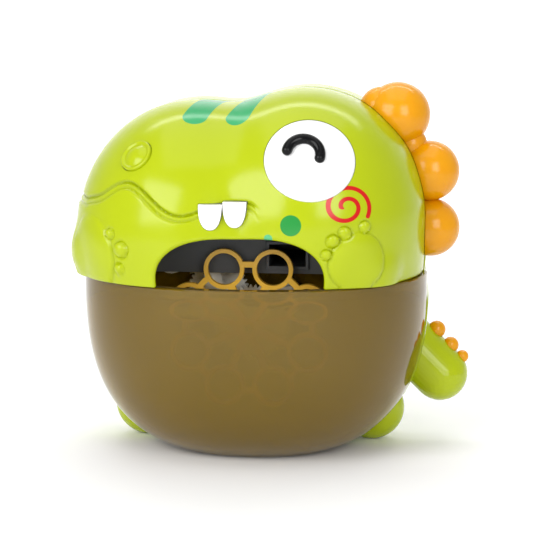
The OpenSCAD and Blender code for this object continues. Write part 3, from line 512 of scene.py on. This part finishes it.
def tank_ring(w, d, z, backed):
    """A level ring of the tub: a half superellipse of power 2.2 with a flat back."""
    a = np.linspace(0, math.pi, 97)
    x = w * np.sign(np.cos(a)) * np.abs(np.cos(a)) ** (2 / 2.2)
    y = 18 - np.maximum(d * np.sin(a) ** (2 / 2.2), 0.3 + backed)
    return np.stack([x, y, np.full_like(a, z)], -1)


def tank_skin():
    """Closed shell: rings climb the outside from the flat base, whose side is a superellipse of
    power 2.8, turn in over the rim and its flange, and go down the inside to the floor."""
    rings = []
    turn = math.asin(0.96 ** 1.4)
    for t in np.linspace(turn, 0, 40):
        k = math.cos(t) ** (2 / 2.8)
        rings.append(tank_ring(92 * k, 80 * k, max(0, 95.7 - 100 * math.sin(t) ** (2 / 2.8)), 0))
    rings[-1][:, 2] -= 0.5
    rings.append(tank_ring(91.5, 79.5, 95.7, 0))
    rings.append(tank_ring(85.4, 73.4, 95.7, 2.2))
    rings.append(tank_ring(85, 73, 95.3, 2.2))
    rings.append(tank_ring(85, 73, 93.8, 2.2))
    rings.append(tank_ring(85.4, 73.4, 93.4, 2.2))
    turn = math.asin((93.8 / 97.8) ** 1.4)
    for t in np.linspace(0.05, turn, 40):
        k = math.cos(t) ** (2 / 2.8)
        rings.append(tank_ring(89.8 * k, 77.8 * k, 95.7 - 97.8 * math.sin(t) ** (2 / 2.8), 2.2))
    return closed_skin("tank_tub", np.array(rings) * MM)


def box_piece(name, low, high):
    """A plain closed block between two corners in mm, as a cutter or a tongue."""
    lo = np.array(low) * MM
    hi = np.array(high) * MM
    pick = np.array([[i, j, k] for i in (0, 1) for j in (0, 1) for k in (0, 1)])
    faces = [[0, 1, 3, 2], [4, 6, 7, 5], [0, 4, 5, 1], [2, 3, 7, 6], [0, 2, 6, 4], [1, 5, 7, 3]]
    return outward(piece_from_faces(name, lo + pick * (hi - lo), faces))


tank = tank_skin()
tank = carve(tank, [box_piece(f"tongue_{side}", (62 * side - 7, 13.4, 92), (62 * side + 7, 15.8, 105))
                    for side in (-1, 1)], "UNION")
smoky = moulding("smoky_tub", (0.30, 0.185, 0.002), 0.03, 0.06, 0.0)
surface_of(smoky).inputs["Transmission Weight"].default_value = 0.62
surface_of(smoky).inputs["IOR"].default_value = 1.50
tank.data.materials.append(smoky)
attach(tank, "tank")
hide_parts("tank")


# ---- eye --------------------------------------------------------------------------------------
# The eye is a separate glossy white dome that sits in the window of the head. A closed-eye arch,
# a black half-round bead, is moulded on it in a second shot.

EYE_DOME_R = (23 * 23 + 8 * 8) / 16


def dome_height(r):
    """Height of the eye's dome over its seat at a distance from its middle, in mm."""
    return np.sqrt(EYE_DOME_R ** 2 - np.square(r)) + 8 - EYE_DOME_R - 4.5


dome_r = 22.6 * np.sin(np.linspace(math.pi / 2, 0, 28))
eye_profile = [(0, -9), (23, -9), (23, -4.9), (22.9, -4.6)] + [(r, float(dome_height(r))) for r in dome_r]
eye = turned("eye_dome", eye_profile, EYE_AT, EYE_DIR, 128)
eye.data.set_sharp_from_angle(angle=math.radians(40))
white = moulding("eye_white_gloss", (0.84, 0.84, 0.84), 0.12, 0.015, 0.004, coat=0.3)
eye.data.materials.append(white)
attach(eye, "machine")
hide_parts("eye_white")


def arch_bead():
    """Half-round bead along a 180-degree arc on the dome, its ends rounded like a finger; the right leg
    runs on a little further. Each ring is a circle across the arc whose lower half is held just above the
    dome."""
    run = np.linspace(74, 256, 60)
    centre = np.array([0, -3.4])
    caps = np.radians(np.linspace(80, 15, 6))
    turn = np.concatenate([np.full(6, run[0]), run, np.full(6, run[-1])])
    shift = np.concatenate([-2.7 * np.sin(caps), np.zeros(60), 2.7 * np.sin(caps[::-1])])
    size = np.concatenate([2.7 * np.cos(caps), np.full(60, 2.7), 2.7 * np.cos(caps[::-1])])
    out = np.full(len(turn), 8.4)
    a = np.radians(turn)[:, None]
    k = np.radians(np.arange(0, 360, 15))[None, :]
    reach = out[:, None] + size[:, None] * np.cos(k)
    px = centre[0] + reach * np.cos(a) - shift[:, None] * np.sin(a)
    py = centre[1] + reach * np.sin(a) + shift[:, None] * np.cos(a)
    pz = np.maximum(3.3 + size[:, None] * np.sin(k), dome_height(np.hypot(px, py)) - 0.05)
    x, y, z = axes_of(EYE_DIR)
    rings = EYE_AT + MM * (px[..., None] * x + py[..., None] * y + pz[..., None] * z)
    return closed_skin("eye_bead", rings)


bead = arch_bead()
black = moulding("bead_black", (0.003, 0.003, 0.0035), 0.13, 0.2, 0.004)
surface_of(black).inputs["Specular IOR Level"].default_value = 0.2
bead.data.materials.append(black)
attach(bead, "machine")
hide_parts("eye_arch")


# ---- teeth ------------------------------------------------------------------------------------
# Two square-topped teeth with round ends, one white polypropylene moulding with a bar behind the
# wall, pushed through slots under the mouth line from inside.

teeth = None
for number, at in enumerate(TEETH_AT, 1):
    tooth = tooth_plug(f"tooth_{number}", at, -0.05, -68, -53)
    front = turned(f"tooth_front_{number}", [(0.001, -18.6)] + [
        (18.6 * math.cos(t), 18.6 * math.sin(t)) for t in np.linspace(-1.5, 1.5, 60)] + [(0.001, 18.6)],
        np.array([at[0], -42, at[1]]) * MM, (0.001, -1, 0), 96)
    tooth = carve(tooth, [front], "INTERSECT")
    teeth = tooth if teeth is None else carve(teeth, [tooth], "UNION")
teeth = carve(teeth, [box_piece("tooth_bar", (-22.1, -53.2, 128.2), (4.3, -51, 138))], "UNION")
teeth.name = "teeth_pair"
soft_edge = teeth.modifiers.new("soft_edge", "BEVEL")
soft_edge.width = 0.5 * MM
soft_edge.segments = 2
soft_edge.limit_method = "ANGLE"
soft_edge.angle_limit = math.radians(50)
teeth.data.materials.append(white)
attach(teeth, "machine")
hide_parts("teeth")


# ---- nose button ------------------------------------------------------------------------------
# The left nostril is the on and off button: a green cap with a raised rim and a low dome, which
# slides in a sleeve moulded behind the snout and presses a switch.

dome = [(r, -9.38 + math.sqrt(11.58 ** 2 - r * r)) for r in np.linspace(6.1, 0, 14)]
button = turned("nose_cap", [(0, -8.4), (2, -8.4), (2, -7), (8.8, -7), (8.8, -5.6), (8, -5.6), (8, -4.2),
                             (8.8, -4.2), (8.8, 0.3), (8.65, 0.75), (8.2, 1), (7.7, 1), (7.3, 0.85),
                             (6.7, 0.42), (6.4, 0.36)] + dome, BUTTON_AT, BUTTON_DIR, 96)
button.data.set_sharp_from_angle(angle=math.radians(50))
cap_green = moulding("cap_green", GREEN, 0.19, 0.03, 0.008)
button.data.materials.append(cap_green)
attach(button, "nose_button")
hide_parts("nose_button")


# ---- crest, tail and feet ---------------------------------------------------------------------
# Orange crest lobes, a green tail with three orange bumps, and two green feet on the back shell,
# which the battery door closes. Their shapes are the part's own; each gets a glossy finish.

orange = moulding("crest_orange", (0.72, 0.30, 0.0003), 0.2, 0.04, 0.008)
surface_of(orange).inputs["Subsurface Weight"].default_value = 0.05
green = moulding("body_green", GREEN, 0.2, 0.03, 0.008)
for node, finish in (("crest", orange), ("tail_spikes", orange), ("tail", green), ("foot_left", green),
                     ("foot_right", green), ("back_shell", green), ("battery_door", green)):
    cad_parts[node].data.materials.clear()
    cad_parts[node].data.materials.append(finish)


# ---- works behind the tank ---------------------------------------------------------------------
# Gears, motor, fan, board and cells hang from the grey chassis plate. Their shapes are the
# part's own; each gets the finish of its real material.

WORKS = {
    "grey_abs": ("chassis_plate fan_housing air_duct splash_guard speaker_frame battery_tray",
                 (0.075, 0.08, 0.085), 0.42, 0),
    "natural_pom": ("gear_frame_rear gear_frame_front motor_pinion first_gear second_gear wheel_gear "
                    "motor_end_cap", (0.78, 0.78, 0.72), 0.38, 0),
    "steel": ("motor_can motor_shaft gear_pins wheel_shaft shaft_clip frame_screws shell_screws "
              "chassis_screws door_screws battery_contacts", (0.62, 0.63, 0.65), 0.28, 1),
    "brass": ("shaft_bushes", (0.72, 0.52, 0.20), 0.32, 1),
    "wheel_amber": ("bubble_wheel", (0.85, 0.50, 0.06), 0.3, 0),
    "fan_blue": ("impeller", (0.05, 0.16, 0.50), 0.35, 0),
    "cone_paper": ("speaker_cone", (0.015, 0.015, 0.016), 0.8, 0),
    "board_green": ("main_board button_board", (0.01, 0.10, 0.03), 0.4, 0),
    "switch_black": ("tact_switch", (0.03, 0.03, 0.035), 0.4, 0),
    "cell_wrap": ("cell_1 cell_2 cell_3", (0.02, 0.16, 0.52), 0.3, 0),
    "seal_rubber": ("button_seal door_seal", (0.02, 0.02, 0.02), 0.6, 0),
    "lead_red": ("motor_lead battery_lead", (0.55, 0.02, 0.02), 0.45, 0),
    "lead_black": ("speaker_lead", (0.02, 0.02, 0.02), 0.45, 0),
    "lead_white": ("button_lead", (0.75, 0.75, 0.73), 0.45, 0),
    "cup_clear": ("suction_cup_1 suction_cup_2 suction_cup_3 suction_cup_4", (0.80, 0.86, 0.88), 0.16, 0),
}
for finish, (names, colour, rough, metal) in WORKS.items():
    made = moulding(finish + "_finish", colour, rough, 0.06, 0.03, flow=90.0, metal=metal)
    if finish == "cup_clear":
        surface_of(made).inputs["Transmission Weight"].default_value = 0.75
        surface_of(made).inputs["IOR"].default_value = 1.50
    for node in names.split():
        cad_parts[node].data.materials.clear()
        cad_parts[node].data.materials.append(made)
